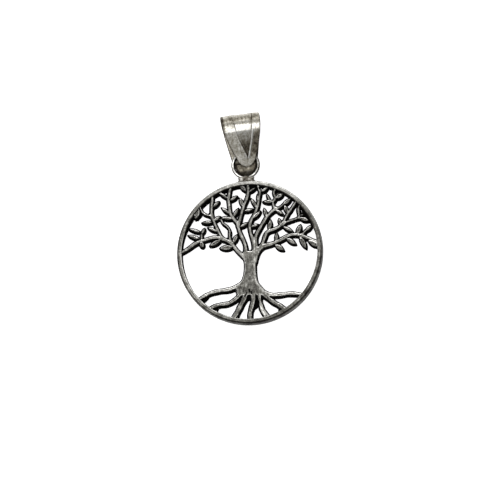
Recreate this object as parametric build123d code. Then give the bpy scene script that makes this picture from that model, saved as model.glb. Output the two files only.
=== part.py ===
from build123d import *
import math
import os

# Round pierced pendant with a tree, lying on its back. Millimetres.
# +X to the right, +Y towards the bail, +Z up out of the face.
# The origin is the disc's centre, on the flat back.

# Disc
disc_diameter = 25.0
disc_thickness = 1.8
rim_width = 0.85
rim_outer_round = 0.45
rim_inner_round = 0.25

# The tree's relief: how far each level lies below the rim's top, and how far each step stands in
crest_drop = 0.15
tree_drop = 0.40
web_drop = 0.75
crest_inset = 0.10
leaf_wall = 0.16

# The tree's right side lies lower than its left: the fall, as a share of the way across
tree_fall = 0.032

# Small ring, soldered in line with the disc on the rim's edge
ring_wire = 0.60
ring_diameter = 4.95
ring_offset_angle = 2.8
solder_length = 0.42
solder_top_width = 2.4
solder_foot_width = 3.0
solder_thickness = 0.60

# Bail, a tapered strip folded over at its top
bail_width = 6.6
bail_thickness = 0.60
bail_length = 10.13
bail_bend_diameter = 5.2
bail_lean = 8.8
bail_curl_gap = 0.12
bail_wire_gap = 0.10
front_tip_setback = 1.28
front_tip_radius = 1.72
front_shoulder_width = 5.8
back_waist_width = 6.2
back_shoulder_width = 4.5
tongue_width = 4.2
tongue_length = 2.1
tongue_shoulder = 0.9
tongue_tip_radius = 1.7
curl_lap = 0.45
fold_skew = 1.5
fold_offset = 0.75
tip_solder_depth = 0.20

# Sunk V on the bail's front
groove_depth = 0.22
groove_width = 3.6
groove_shoulder_width = 2.7
groove_tip_setback = 1.2
groove_offset = 0.24

# Worked out from the sizes above
disc_radius = disc_diameter / 2
rim_inner_radius = disc_radius - rim_width
rim_overlap = rim_width / 3
crest_height = disc_thickness - crest_drop
tree_height = disc_thickness - tree_drop
web_height = disc_thickness - web_drop
ring_radius = (ring_diameter - ring_wire) / 2
ring_distance = disc_radius + solder_length + ring_diameter / 2
ring_height = bail_thickness + bail_wire_gap + ring_wire / 2
bend_radius = bail_bend_diameter / 2
bend_y = bail_length - bend_radius
fold_lean = fold_offset / bail_bend_diameter
curl_inside = ring_wire + bail_wire_gap
curl_radius = curl_inside / 2 + bail_thickness
chart = disc_radius / 100

# The tree's chart: places and widths in hundredths of the disc's radius, from its centre,
# before the fall to the right.
# Each limb: width at its root, width at its end, then the points (across, up) on its middle line.
limbs = {
    "low_left": (6.0, 4.0, [(-1, -13), (-9, -6), (-16, 0.5), (-24.5, 11.5), (-33, 17), (-48, 20.5),
                            (-62, 17), (-72.5, 13.5), (-86, 4), (-100, -3)]),
    "left_twig": (3.6, 2.6, [(-24, 12), (-27.5, 22), (-27.5, 30), (-31.5, 36.5), (-36, 40), (-39, 45.5)]),
    "left_slant": (4.0, 4.2, [(-37, 18.5), (-44, 31.5), (-50, 45.5), (-52.5, 55), (-52, 66.5),
                              (-51, 81), (-50, 87)]),
    "left_arc": (2.8, 2.8, [(-53, 50.7), (-59.4, 52.3), (-62.7, 54), (-65.7, 57.4), (-69, 64.4),
                            (-72, 69)]),
    "left_main": (5.6, 4.0, [(-5, -3), (-5.4, 8), (-9.5, 19), (-14.5, 31), (-18, 42), (-24.5, 49.5),
                             (-28, 63), (-29, 73), (-24, 98)]),
    "left_inner": (4.2, 4.0, [(-15.5, 36), (-11.5, 53), (-7, 67), (-3, 78), (-3, 100)]),
    "centre": (5.4, 3.6, [(6.5, 1), (5.5, 13), (2.5, 23), (0.3, 32), (1.5, 43), (7, 54),
                          (11.7, 68), (14.3, 85)]),
    "right_inner": (4.9, 4.0, [(8.5, 2), (8.3, 15), (9.6, 25), (14.5, 34), (25, 51), (36, 61)]),
    "right_crown": (3.4, 3.2, [(36, 60), (33, 71.5), (35.5, 75), (33.5, 82), (39.5, 92.5)]),
    "right_stem": (3.2, 2.8, [(36.5, 60), (42, 63), (47, 67.5)]),
    "right_middle": (6.0, 4.2, [(14, 1), (18, 10.5), (20.5, 20), (24.5, 28), (35, 32.5), (46, 40)]),
    "right_upper": (3.8, 3.0, [(46, 39.5), (50, 49), (57, 60), (66, 74)]),
    "right_twig": (3.2, 2.8, [(46.5, 40.5), (56, 44), (69, 48.5)]),
    "right_tip": (2.6, 2.4, [(69, 48), (67.2, 60), (71, 69.5)]),
    "low_right": (6.5, 4.4, [(11, -4), (24, 9), (38, 14.5), (50, 21.5), (62, 25), (73, 22.5), (100, 11)]),
    "right_fork": (3.4, 3.0, [(71, 23.5), (78, 31)]),
    "root_left_high": (5.5, 3.8, [(-11, -44.5), (-18, -48.3), (-27, -51.8), (-40, -53.8), (-54, -57.3),
                                  (-73, -69)]),
    "root_left_middle": (5.0, 4.6, [(-8, -55), (-18, -64.5), (-29, -71.5), (-41, -73.5), (-59, -81.5)]),
    "root_left_low": (6.6, 6.2, [(-4, -54), (-7, -64), (-13, -76), (-18, -86), (-25, -97)]),
    "root_centre": (7.0, 5.0, [(2.5, -53), (5, -68), (1, -84), (1, -100)]),
    "root_right_low": (5.0, 4.0, [(13.5, -56), (17, -76), (21, -83), (32, -95)]),
    "root_right_fork": (3.6, 3.0, [(15, -74), (16.5, -82), (21.5, -90), (23.5, -97.5)]),
    "root_right_middle": (6.5, 5.6, [(16, -56), (28, -66), (42, -75), (55, -83.5)]),
    "root_right_high": (5.5, 4.2, [(15, -51), (23, -57.5), (30, -59.5), (56, -57.5), (79, -61)]),
}

# Each leaf: where it leaves its twig, its point, and its width
leaves = [
    ((-66, 27.5), (-84, 32.5), 4.4),
    ((-67, 18), (-85, 23.5), 5.0),
    ((-50, 42), (-66, 41), 4.6),
    ((-66, 15), (-66, 28), 3.6),
    ((-66, 25), (-61.5, 34), 4.0),
    ((-67, 15), (-64.5, 6.5), 7.0),
    ((-38.5, 18), (-55, 8.5), 6.0),
    ((-43, 28.5), (-58, 34.5), 4.6),
    ((-51, 62.5), (-41.5, 71.5), 4.6),
    ((-50, 43.5), (-40, 50.5), 5.0),
    ((-28, 74), (-44, 85), 4.6),
    ((-28, 71.5), (-16.5, 79), 4.6),
    ((-26.5, 53), (-39, 62.5), 4.6),
    ((-23, 48), (-15, 62), 4.6),
    ((-22, 46.5), (-40, 48.5), 5.0),
    ((-23, 12), (-16.5, 25), 5.8),
    ((-22, 7.5), (-41, 5.5), 7.2),
    ((-8, 62), (-13.5, 76), 5.8),
    ((-3.5, 84.5), (-15, 96), 5.8),
    ((-2, 83.5), (9, 91), 3.6),
    ((10.5, 97), (12.5, 88), 3.8),
    ((-15, 34), (-1, 42), 4.4),
    ((1, 35), (13, 39), 4.4),
    ((-9.5, 57), (6, 60.5), 4.4),
    ((3.5, 46), (15.5, 58), 5.0),
    ((10.5, 60.5), (2, 75.5), 5.0),
    ((13, 67), (10.5, 81), 3.8),
    ((15, 84), (25.5, 91), 4.6),
    ((15.5, 83), (11.5, 90), 3.4),
    ((24, 48), (20, 62), 5.0),
    ((34.5, 71), (18, 70.5), 5.2),
    ((28.5, 70.5), (23.5, 82), 3.8),
    ((35.5, 75), (46.5, 82), 5.8),
    ((35, 78), (41.5, 84), 2.8),
    ((45, 65.5), (57.5, 75.5), 5.4),
    ((35, 60), (47, 52.5), 4.6),
    ((53.5, 53), (48, 66), 6.2),
    ((27, 29.5), (29, 46), 5.8),
    ((43.5, 36.5), (40.5, 47.5), 5.0),
    ((45, 36.5), (60.5, 28.5), 5.2),
    ((36.5, 13), (37.5, 28), 5.0),
    ((68.2, 50), (66.5, 64), 4.4),
    ((68.5, 51), (75.5, 53), 3.2),
    ((68, 48.5), (82, 44), 5.8),
    ((65, 24), (70.5, 39), 6.4),
    ((76.5, 29), (86, 38), 4.6),
    ((34.5, 11), (47.5, 3), 6.4),
    ((50, 20), (64, 11.5), 6.4),
    ((69, 22.5), (78, 5.5), 7.0),
    ((80, 17), (96, 8), 7.4),
    ((-69, 62), (-73.5, 44), 6.5),
]

# Trunk: height, left side and right side at each level
trunk_levels = [
    (1, -5.5, 12.5),
    (-4, -7.6, 12.0),
    (-9, -7.7, 11.0),
    (-25, -7.5, 9.5),
    (-36, -9.2, 11.0),
    (-43, -13.0, 12.9),
    (-49, -18.0, 17.0),
    (-57, -14.0, 22.0),
    (-61, -8.0, 22.0),
]

# Thin sunk webs beside the rim: their corners
webs = [
    [(70, 70), (72, 54), (83, 41), (90, 38), (82, 56)],
    [(-1, 97), (0, 89), (11, 88), (13, 97)],
    [(-72, 66), (-66, 57), (-66, 52), (-72, 45), (-80, 56)],
]


def chart_place(x, y):
    """A place on the tree's chart, in millimetres on the disc."""
    return x * chart, (y - tree_fall * x) * chart


def limb_face(start_width, end_width, places, inset):
    """A bar along a smooth middle line, with its width changing evenly, and round ends."""
    middle = Spline([chart_place(x, y) for x, y in places])
    steps = 2 * (len(places) - 1)
    left = []
    right = []
    for step in range(steps + 1):
        share = step / steps
        point = middle @ share
        along = middle % share
        half = (start_width + (end_width - start_width) * share) * chart / 2 - inset
        left.append((point.X - along.Y * half, point.Y + along.X * half))
        right.append((point.X + along.Y * half, point.Y - along.X * half))
    outline = [
        Spline(left),
        Line(left[-1], right[-1]),
        Spline(right[::-1]),
        Line(right[0], left[0]),
    ]
    return make_face(outline)


def leaf_face(base, tip, width, inset):
    """A pointed leaf between two arcs that meet at its base and its tip."""
    start = Vector(*chart_place(*base))
    end = Vector(*chart_place(*tip))
    along = (end - start).normalized()
    side = Vector(-along.Y, along.X)
    half = width * chart / 2
    start = start + along * (inset * 2)
    end = end - along * (inset * 2)
    bulge = side * (half - inset)
    middle = start + (end - start) * 0.5
    outline = [
        ThreePointArc(start, middle + bulge, end),
        ThreePointArc(end, middle - bulge, start),
    ]
    return make_face(outline)


def trunk_face(inset):
    """The trunk and the flare of its foot, between two smooth sides."""
    left = [chart_place(x, y) for y, x, other in trunk_levels]
    right = [chart_place(x, y) for y, other, x in trunk_levels]
    left = [(x + inset, y) for x, y in left]
    right = [(x - inset, y) for x, y in right]
    outline = [
        Spline(left),
        Line(left[-1], right[-1]),
        Spline(right[::-1]),
        Line(right[0], left[0]),
    ]
    return make_face(outline)


def joined(faces):
    """Flat faces made into one."""
    return faces[0].fuse(*faces[1:])


def inside_rim(face):
    """What of a face lies inside the middle of the rim."""
    return face & Circle(rim_inner_radius + rim_overlap).face()


def tree_outline(inset):
    """Trunk, limbs, roots and leaves seen from the front, each edge drawn in by the inset."""
    faces = [trunk_face(inset)]
    for start_width, end_width, places in limbs.values():
        faces.append(limb_face(start_width, end_width, places, inset))
    for base, tip, width in leaves:
        faces.append(leaf_face(base, tip, width, inset))
    return inside_rim(joined(faces))


def web_outline():
    """The thin webs seen from the front."""
    faces = []
    for corners in webs:
        edge = Polyline([chart_place(x, y) for x, y in corners], close=True)
        faces.append(make_face(edge))
    return inside_rim(joined(faces))


def rim():
    """The plain rim with its rounded top."""
    profile = Rectangle(rim_width, disc_thickness, align=(Align.MAX, Align.MIN))
    top = profile.vertices().group_by(Axis.Y)[-1].sort_by(Axis.X)
    profile = fillet(top[-1], rim_outer_round)
    top = profile.vertices().group_by(Axis.Y)[-1].sort_by(Axis.X)
    profile = fillet(top[0], rim_inner_round)
    return revolve(Plane.XZ * Pos(disc_radius, 0) * profile, Axis.Z)


def raised_tree():
    """The pierced tree: full outlines below, and narrower crests with hollowed leaves above."""
    low = extrude(tree_outline(0), tree_height)
    sunk = extrude(web_outline(), web_height)
    hollows = joined([leaf_face(base, tip, width, crest_inset + leaf_wall) for base, tip, width in leaves])
    leaf_tops = joined([leaf_face(base, tip, width, crest_inset) for base, tip, width in leaves]) - hollows
    limb_tops = [limb_face(first, last, places, crest_inset) for first, last, places in limbs.values()]
    tops = inside_rim(joined([trunk_face(crest_inset), *limb_tops]).fuse(leaf_tops))
    high = extrude(tops, crest_height)
    return low.fuse(high, sunk)


def ring_and_solder():
    """The small ring and the solder that holds it on the rim, turned to its place."""
    ring = Pos(0, ring_distance, ring_height) * Torus(ring_radius, ring_wire / 2)
    foot = disc_radius - rim_width / 2
    top = ring_distance - ring_radius
    corners = [
        (-solder_foot_width / 2, foot),
        (solder_foot_width / 2, foot),
        (solder_top_width / 2, top),
        (-solder_top_width / 2, top),
    ]
    block = extrude(make_face(Polyline(corners, close=True)), solder_thickness / 2, both=True)
    solder = Pos(0, 0, ring_height) * block
    return Rot(0, 0, ring_offset_angle) * ring.fuse(solder)


def tree_disc():
    """Rim, tree, ring and solder, which are one casting."""
    return rim().fuse(raised_tree(), ring_and_solder())


def front_slope():
    """The front leaf's slope: it leaves the top bend and its tip is sunk a little into the curl."""
    across = bend_y - front_tip_setback
    rise = bend_radius - (2 * curl_radius - tip_solder_depth)
    span = math.hypot(across, rise)
    return math.atan2(rise, across) + math.asin((bend_radius - bail_thickness) / span)


def front_profile(proud, depth):
    """Side view of the top bend and the front leaf, from a little proud of it to a depth below it."""
    slope = front_slope()
    normal = Vector(-math.sin(slope), math.cos(slope))
    down = Vector(-math.cos(slope), -math.sin(slope))
    centre = Vector(bend_y, bend_radius)
    outer = bend_radius + proud
    inner = bend_radius - depth
    reach = bend_y / math.cos(slope)
    outline = [
        Line(centre + normal * outer + down * reach, centre + normal * outer),
        ThreePointArc(centre + normal * outer, centre + Vector(outer, 0), centre - Vector(0, outer)),
        Line(centre - Vector(0, outer), centre - Vector(0, inner)),
        ThreePointArc(centre - Vector(0, inner), centre + Vector(inner, 0), centre + normal * inner),
        Line(centre + normal * inner, centre + normal * inner + down * reach),
        Line(centre + normal * inner + down * reach, centre + normal * outer + down * reach),
    ]
    return Plane.YZ * make_face(outline)


def back_profile():
    """Side view of the back leaf and the curl at its lower end."""
    inner = curl_inside / 2
    outline = [
        Line((bend_y, 0), (bend_y, bail_thickness)),
        Line((bend_y, bail_thickness), (curl_radius, bail_thickness)),
        ThreePointArc(
            (curl_radius, bail_thickness), (bail_thickness, curl_radius), (curl_radius, curl_radius + inner)
        ),
        Line((curl_radius, curl_radius + inner), (curl_radius, 2 * curl_radius)),
        ThreePointArc((curl_radius, 2 * curl_radius), (0, curl_radius), (curl_radius, 0)),
        Line((curl_radius, 0), (bend_y, 0)),
    ]
    return Plane.YZ * make_face(outline)


def lap_profile():
    """Side view of the curl's end, which runs on under the front leaf's tip."""
    reach = front_tip_setback + curl_lap - curl_radius
    end = Rectangle(reach, bail_thickness, align=(Align.MIN, Align.MAX))
    return Plane.YZ * Pos(curl_radius, 2 * curl_radius) * end


def tip_end(tip_y, tip_radius):
    """Where the right side of a leaf leaves its round tip."""
    turn = math.radians(10)
    return tip_radius * math.cos(turn), tip_y + tip_radius * (1 - math.sin(turn))


def front_outline():
    """The front leaf seen from the front: a round tip, arched sides and a straight top."""
    half_top = bail_width / 2
    half_shoulder = front_shoulder_width / 2
    tip_y = front_tip_setback
    shoulder_y = (bail_length + tip_y) / 2
    side_x, side_y = tip_end(tip_y, front_tip_radius)
    outline = [
        ThreePointArc((-side_x, side_y), (0, tip_y), (side_x, side_y)),
        ThreePointArc((side_x, side_y), (half_shoulder, shoulder_y), (half_top, bail_length)),
        Line((half_top, bail_length), (-half_top, bail_length)),
        ThreePointArc((-half_top, bail_length), (-half_shoulder, shoulder_y), (-side_x, side_y)),
    ]
    return make_face(outline)


def back_outline():
    """The back leaf seen from the front: near straight sides, then a narrower, round tongue."""
    half_top = bail_width / 2
    waist = back_waist_width / 2
    shoulder = (back_shoulder_width / 2, tongue_length + tongue_shoulder)
    neck = (tongue_width / 2, tongue_length)
    side_x, side_y = tip_end(0, tongue_tip_radius)
    outline = [
        ThreePointArc((-side_x, side_y), (0, 0), (side_x, side_y)),
        Line((side_x, side_y), neck),
        Line(neck, shoulder),
        ThreePointArc(shoulder, (waist, bend_y), (half_top, bail_length)),
        Line((half_top, bail_length), (-half_top, bail_length)),
        ThreePointArc((-half_top, bail_length), (-waist, bend_y), (-shoulder[0], shoulder[1])),
        Line((-shoulder[0], shoulder[1]), (-neck[0], neck[1])),
        Line((-neck[0], neck[1]), (-side_x, side_y)),
    ]
    return make_face(outline)


def groove_outline():
    """The sunk V seen from the front: a point below and arched sides."""
    half_top = groove_width / 2
    half_shoulder = groove_shoulder_width / 2
    tip_y = front_tip_setback + groove_tip_setback
    shoulder_y = (bail_length + tip_y) / 2
    outline = [
        ThreePointArc((0, tip_y), (half_shoulder, shoulder_y), (half_top, bail_length)),
        Line((half_top, bail_length), (-half_top, bail_length)),
        ThreePointArc((-half_top, bail_length), (-half_shoulder, shoulder_y), (0, tip_y)),
    ]
    return make_face(outline)


def through_bail(outline):
    """A front outline carried through the bail, stepping sideways as the fold does."""
    deep = 2 * bail_bend_diameter
    step = fold_lean * deep
    return Pos(-fold_offset, 0, 0) * extrude(outline, math.hypot(deep, step), dir=(step, 0, deep))


def bail():
    """The folded strip, leaning to one side, with its curl under the ring's wire."""
    front = extrude(front_profile(0, bail_thickness), bail_width, both=True)
    front = front & through_bail(front_outline())
    above = Pos(0, 0, bend_radius) * Box(
        3 * bail_width, 3 * bail_length, bail_bend_diameter, align=(Align.CENTER, Align.CENTER, Align.MIN)
    )
    groove = extrude(front_profile(bail_thickness, groove_depth), bail_width, both=True)
    groove = groove & through_bail(Pos(groove_offset, 0) * groove_outline()) & above
    back = extrude(back_profile(), bail_width, both=True)
    turn = Pos(0, bend_y) * Rot(0, 0, -fold_skew) * Pos(0, -bend_y)
    back = back & through_bail(turn * back_outline())
    lap = extrude(lap_profile(), bail_width, both=True)
    lap = lap & through_bail(turn * Pos(0, tongue_tip_radius) * Circle(tongue_tip_radius).face())
    strip = (front - groove).fuse(back, lap)
    curl_x = fold_lean * curl_radius - fold_offset - bend_y * math.sin(math.radians(fold_skew))
    curl_distance = ring_distance - ring_radius + ring_wire / 2 + bail_curl_gap
    place = Rot(0, 0, ring_offset_angle) * Pos(0, curl_distance + tongue_tip_radius, 0)
    lean = Rot(0, 0, bail_lean - ring_offset_angle)
    return place * lean * Pos(-curl_x, -tongue_tip_radius, 0) * strip


parts = {"tree_disc": tree_disc(), "bail": bail()}
os.makedirs("parts", exist_ok=True)
for name, shape in parts.items():
    export_step(shape, f"parts/{name}.step")
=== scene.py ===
import math
import bpy
import numpy as np
from mathutils import Matrix, Vector


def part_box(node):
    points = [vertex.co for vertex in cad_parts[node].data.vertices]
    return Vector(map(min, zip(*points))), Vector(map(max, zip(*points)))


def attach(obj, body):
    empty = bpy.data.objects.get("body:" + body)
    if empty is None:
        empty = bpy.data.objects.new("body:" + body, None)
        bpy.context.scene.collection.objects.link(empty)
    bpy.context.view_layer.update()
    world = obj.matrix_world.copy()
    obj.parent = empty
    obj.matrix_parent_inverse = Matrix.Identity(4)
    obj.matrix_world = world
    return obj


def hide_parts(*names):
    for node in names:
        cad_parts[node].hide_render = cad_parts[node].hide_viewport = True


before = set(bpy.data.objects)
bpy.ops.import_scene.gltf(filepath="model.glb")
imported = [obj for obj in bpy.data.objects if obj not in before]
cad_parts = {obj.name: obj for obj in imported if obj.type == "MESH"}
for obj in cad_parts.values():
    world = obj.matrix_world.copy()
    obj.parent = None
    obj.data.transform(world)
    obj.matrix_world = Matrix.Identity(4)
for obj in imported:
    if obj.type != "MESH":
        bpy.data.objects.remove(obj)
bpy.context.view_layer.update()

# Tree pendant, lying on its back: +X right, +Y towards the bail, +Z out of the face.
# Sizes are in millimetres and turned into metres when a mesh is made.
mm = 0.001
discLow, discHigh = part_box("tree_disc")
discRadius = (discHigh.x - discLow.x) / 2 / mm
discThick = discHigh.z / mm
chart = discRadius / 100  # the tree's places are hundredths of the disc's radius
far = 99.0  # further than any place on the pendant
quarter = math.pi / 2  # a quarter turn
print("frame loaded, disc", round(2 * discRadius, 2), "mm across,", round(discThick, 2), "mm thick")


# A smooth line through a few points: natural cubics by chord length, read at even steps.
def smoothLine(places, count):
    points = np.array(places, float)
    chord = np.linalg.norm(np.diff(points, axis=0), axis=1)
    knots = np.concatenate(([0.0], np.cumsum(chord)))
    last = len(points) - 1
    system = np.eye(last + 1)
    pull = np.zeros_like(points)
    if last > 1:
        inner = np.arange(1, last)
        system[inner, inner - 1] = chord[:-1]
        system[inner, inner] = 2 * (chord[:-1] + chord[1:])
        system[inner, inner + 1] = chord[1:]
        pull[1:-1] = 6 * np.diff(np.diff(points, axis=0) / chord[:, None], axis=0)
    bend = np.linalg.solve(system, pull)
    read = np.linspace(0, knots[-1], count)
    span = np.clip(np.searchsorted(knots, read, side="right") - 1, 0, last - 1)
    width = chord[span][:, None]
    after = (read[:, None] - knots[span][:, None]) / width
    before = 1 - after
    line = before * points[span] + after * points[span + 1]
    curve = (before**3 - before) * bend[span] + (after**3 - after) * bend[span + 1]
    return line + curve * width**2 / 6


# Eased step: 0 up to one value, 1 from the other on, 3t^2 - 2t^3 between. It goes down where the
# first value is the higher.
def eased(value, zeroAt, oneAt):
    share = np.clip((value - zeroAt) / (oneAt - zeroAt), 0, 1)
    return share * share * (3 - 2 * share)


# Inside a band: eased up over the first pair of values, and down again over the second.
def inBand(value, up, down):
    return eased(value, *up) * (1 - eased(value, *down))


# A rounded bump of height 1 at a middle, falling away over a reach: exp(-(distance / reach)^2).
def bump(value, middle, reach):
    return np.exp(-(((value - middle) / reach) ** 2))


# Smooth least of two distances: the least, less a small bump where both are nearly the same.
def merged(first, second, reach):
    share = np.clip(0.5 + 0.5 * (second - first) / reach, 0, 1)
    return second + (first - second) * share - reach * share * (1 - share)


# Coordinates stretched to one grid and stacked into points.
def stacked(*parts):
    return np.stack(np.broadcast_arrays(*parts), -1)


# Angles spread evenly round a circle, the first at 0.
def roundAbout(count):
    return np.linspace(0, 2 * math.pi, count, endpoint=False)


# Points turned about the disc's centre, seen from the front.
def turnedBy(points, degrees):
    c, s = math.cos(math.radians(degrees)), math.sin(math.radians(degrees))
    x, y, z = points[..., 0], points[..., 1], points[..., 2]
    return stacked(c * x - s * y, s * x + c * y, z)


# A mesh object from points in millimetres and faces. Each point carries its tone, from tarnish to
# rubbed silver with painted light and shade mixed in, and its place along and across the piece,
# for brushed streaks.
def makePiece(name, points, faces, tones, along, sharpAngle):
    mesh = bpy.data.meshes.new(name)
    corners = (points.reshape(-1, 3) * mm).tolist()
    mesh.from_pydata(corners, [], [face for block in faces for face in block.tolist()])
    tone = mesh.attributes.new("tone", "FLOAT", "POINT")
    tone.data.foreach_set("value", np.ascontiguousarray(tones, np.float32).ravel())
    strip = mesh.attributes.new("along", "FLOAT_VECTOR", "POINT")
    strip.data.foreach_set("vector", np.ascontiguousarray(along * mm, np.float32).ravel())
    mesh.polygons.foreach_set("use_smooth", np.ones(len(mesh.polygons), bool))
    mesh.set_sharp_from_angle(angle=math.radians(sharpAngle))
    piece = bpy.data.objects.new(name, mesh)
    bpy.context.scene.collection.objects.link(piece)
    return piece


# Quads between neighbouring rows and columns of a grid of points, closed round if asked.
def gridFaces(rows, columns, closedRows=False, closedColumns=False):
    number = np.arange(rows * columns).reshape(rows, columns)
    if closedRows:
        number = np.vstack((number, number[:1]))
    if closedColumns:
        number = np.hstack((number, number[:, :1]))
    corners = (number[1:, :-1], number[1:, 1:], number[:-1, 1:], number[:-1, :-1])
    return np.stack(corners, -1).reshape(-1, 4)


# Faces of a tube of slices: its wall, and a flat face at either end.
def tubeFaces(slices, section):
    start = np.arange(section)[None, :]
    end = start[:, ::-1] + (slices - 1) * section
    return [gridFaces(slices, section, closedColumns=True), start, end]


# Nodes of a material, kept short to write.
class NodeBook:
    def __init__(self, name):
        self.material = bpy.data.materials.new(name)
        self.material.use_nodes = True
        self.tree = self.material.node_tree
        self.shader = self.tree.nodes["Principled BSDF"]

    def add(self, kind, **settings):
        node = self.tree.nodes.new(kind)
        for key, value in settings.items():
            setattr(node, key, value)
        return node

    def link(self, source, target):
        self.tree.links.new(source, target)

    def noise(self, vector, scale, detail, roughness):
        node = self.add("ShaderNodeTexNoise")
        node.inputs["Scale"].default_value = scale
        node.inputs["Detail"].default_value = detail
        node.inputs["Roughness"].default_value = roughness
        self.link(vector, node.inputs["Vector"])
        return node.outputs["Fac"]

    def reckon(self, kind, *values):
        node = self.add("ShaderNodeMath", operation=kind)
        for socket, value in zip(node.inputs, values):
            if isinstance(value, (int, float)):
                socket.default_value = value
            else:
                self.link(value, socket)
        return node.outputs[0]

    # noise about its mean: (noise - 0.5) times a share
    def shifted(self, noise, share):
        return self.reckon("MULTIPLY_ADD", noise, share, -0.5 * share)

    def stretched(self, vector, scale):
        node = self.add("ShaderNodeMapping")
        node.inputs["Scale"].default_value = scale
        self.link(vector, node.inputs["Vector"])
        return node.outputs["Vector"]

    # a ramp through (place, shade) stops, where a shade is a colour or one number for a grey
    def ramp(self, value, stops):
        node = self.add("ShaderNodeValToRGB")
        marks = node.color_ramp.elements
        while len(marks) < len(stops):
            marks.new(0.5)
        for mark, (place, shade) in zip(marks, stops):
            mark.position = place
            mark.color = (*shade, 1) if isinstance(shade, tuple) else (shade, shade, shade, 1)
        self.link(value, node.inputs["Fac"])
        return node.outputs["Color"]

    def relief(self, height, distance, under=None):
        node = self.add("ShaderNodeBump")
        node.inputs["Distance"].default_value = distance
        node.inputs["Strength"].default_value = 1.0
        self.link(height, node.inputs["Height"])
        if under is not None:
            self.link(under, node.inputs["Normal"])
        return node.outputs["Normal"]


# Oxidised cast silver: a point's tone, shifted by clouds, grain and streaks, runs from black
# tarnish to rubbed silver; the tones also carry painted light and shade. The black is a rough crust
# that shifts little and isn't metal. Grain and streaks stand up a few thousandths of a millimetre.
silverLook = {
    "cloud": 1500, "cloudShare": 0.66, "cloudDetail": (4.0, 0.6),
    "grain": 4400, "grainShare": 0.50, "grainDetail": (3.0, 0.65), "grainHeight": 0.000006,
    "streak": (3800, 1100, 1100), "streakShare": 0.42, "streakDetail": (3.0, 0.6),
    "streakHeight": 0.000003,
    "black": (0.004, 0.0038, 0.0035), "dim": (0.022, 0.020, 0.018), "grey": (0.135, 0.132, 0.118),
    "pale": (0.42, 0.415, 0.39), "bright": (0.86, 0.85, 0.82),
    "dimAt": 0.2, "greyAt": 0.45, "paleAt": 0.72,  # tones of the shades between black and bright
    "roughDark": 0.60, "roughBright": 0.27, "roughFrom": 0.1, "roughTo": 0.9,
    "metalFrom": 0.05, "metalTo": 0.24, "crustSteadiness": 3.0,
}


# The surface of one look: wornAndLit = tone + (clouds + grain + streaks) x the least of 3 tones
# and 1. Ramps of wornAndLit give the colour, the roughness and how far it is metal.
def castSilver(name, look):
    book = NodeBook(name)
    place = book.add("ShaderNodeTexCoord").outputs["Object"]
    tone = book.add("ShaderNodeAttribute", attribute_name="tone").outputs["Fac"]
    strip = book.add("ShaderNodeAttribute", attribute_name="along").outputs["Vector"]
    cloud = book.noise(place, look["cloud"], *look["cloudDetail"])
    grain = book.noise(place, look["grain"], *look["grainDetail"])
    streak = book.noise(book.stretched(strip, look["streak"]), 1.0, *look["streakDetail"])
    shift = book.reckon(
        "ADD", book.shifted(cloud, look["cloudShare"]), book.shifted(grain, look["grainShare"]))
    shift = book.reckon("ADD", shift, book.shifted(streak, look["streakShare"]))
    weight = book.reckon("MINIMUM", book.reckon("MULTIPLY", tone, look["crustSteadiness"]), 1.0)
    wornAndLit = book.reckon("MULTIPLY_ADD", shift, weight, tone)
    colour = book.ramp(wornAndLit, [
        (0.0, look["black"]), (look["dimAt"], look["dim"]), (look["greyAt"], look["grey"]),
        (look["paleAt"], look["pale"]), (1.0, look["bright"]),
    ])
    rough = [(look["roughFrom"], look["roughDark"]), (look["roughTo"], look["roughBright"])]
    metal = [(look["metalFrom"], 0.0), (look["metalTo"], 1.0)]
    book.link(colour, book.shader.inputs["Base Color"])
    book.link(book.ramp(wornAndLit, rough), book.shader.inputs["Roughness"])
    book.link(book.ramp(wornAndLit, metal), book.shader.inputs["Metallic"])
    book.shader.inputs["Specular IOR Level"].default_value = 0.0
    normal = book.relief(grain, look["grainHeight"])
    normal = book.relief(streak, look["streakHeight"], normal)
    book.link(normal, book.shader.inputs["Normal"])
    return book.material


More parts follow.
